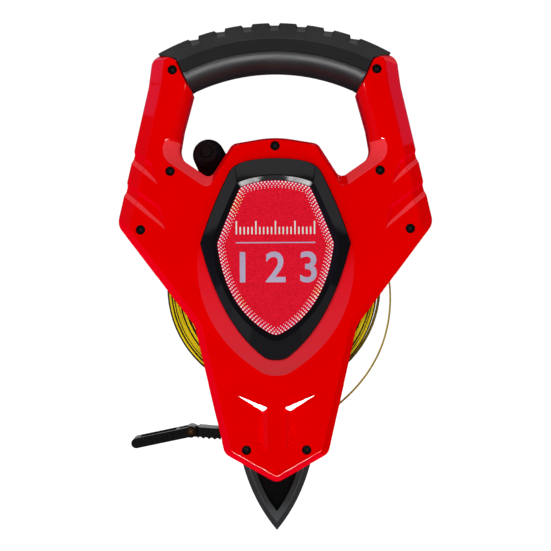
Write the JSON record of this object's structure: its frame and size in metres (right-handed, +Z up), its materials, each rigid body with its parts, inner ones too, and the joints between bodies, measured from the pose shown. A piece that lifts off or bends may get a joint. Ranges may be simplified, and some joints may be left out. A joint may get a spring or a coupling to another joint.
{
  "type": "open reel long tape measure",
  "caption": "Hand-held open frame reel for a long measuring tape, with arched grip, folding crank, ground spike and hinged end hook; the tape winds on a drum.",
  "frame": {"origin": "tip of the ground spike, in the middle plane of the tape", "axes": "+Z up from the spike to the grip, +X to the right seen from the badge side, +Y rearward, along the reel axis from the badge to the crank"},
  "size_m": [0.1834, 0.0659, 0.2985],
  "materials": {
    "red_shell": "gloss",
    "black_screw": "satin",
    "black_gloss": "gloss",
    "badge_foil": "sparkle gloss",
    "black_plastic": "satin",
    "grip_rubber": "matte",
    "spike_plastic": "satin",
    "bush_plastic": "satin",
    "bright_steel": "satin",
    "shaft_alloy": "satin",
    "reel_plastic": "satin",
    "tape_yellow": "satin",
    "hook_plastic": "satin",
    "eyelet_brass": "satin"
  },
  "bodies": {
    "frame": {"front_cover": "red_shell", "rear_cover": "red_shell", "cover_screws": "black_screw", "badge_ring": "black_gloss", "badge_plate": "badge_foil", "grip_core": "black_plastic", "grip_sleeve": "grip_rubber", "ground_spike": "spike_plastic", "front_bush": "bush_plastic", "rear_bush": "bush_plastic", "thrust_washers": "bright_steel", "tape_lead": "tape_yellow", "hook_body": "hook_plastic", "hook_rivet": "eyelet_brass"},
    "reel": {"reel_shaft": "shaft_alloy", "reel_drum": "reel_plastic", "front_flange": "reel_plastic", "rear_flange": "reel_plastic", "flange_screws": "bright_steel", "tape_anchor": "bright_steel", "tape_core": "tape_yellow", "tape_turns": "tape_yellow", "crank_post": "black_plastic", "post_screw": "bright_steel", "fold_pin": "bright_steel"},
    "crank": {"crank_arm": "black_plastic", "knob_axle": "black_plastic", "axle_rivet": "bright_steel"},
    "knob": {"crank_knob": "black_plastic"},
    "claw": {"hook_claw": "hook_plastic"}
  },
  "joints": [
    {"name": "reel_spin", "type": "hinge", "parent": "frame", "child": "reel", "pos_m": [0, 0, 0.144], "axis": [0, 1, 0], "continuous": true},
    {"name": "crank_fold", "type": "hinge", "parent": "reel", "child": "crank", "pos_m": [0, 0.0408, 0.144], "axis": [-0.891, 0, -0.454], "range_deg": [0, 180]},
    {"name": "knob_spin", "type": "hinge", "parent": "crank", "child": "knob", "pos_m": [-0.04131, 0.0256, 0.22508], "axis": [0, 1, 0], "continuous": true},
    {"name": "hook_fold", "type": "hinge", "parent": "frame", "child": "claw", "pos_m": [-0.05, 0, 0.0589], "axis": [0, 1, 0], "range_deg": [-80, 90]}
  ]
}
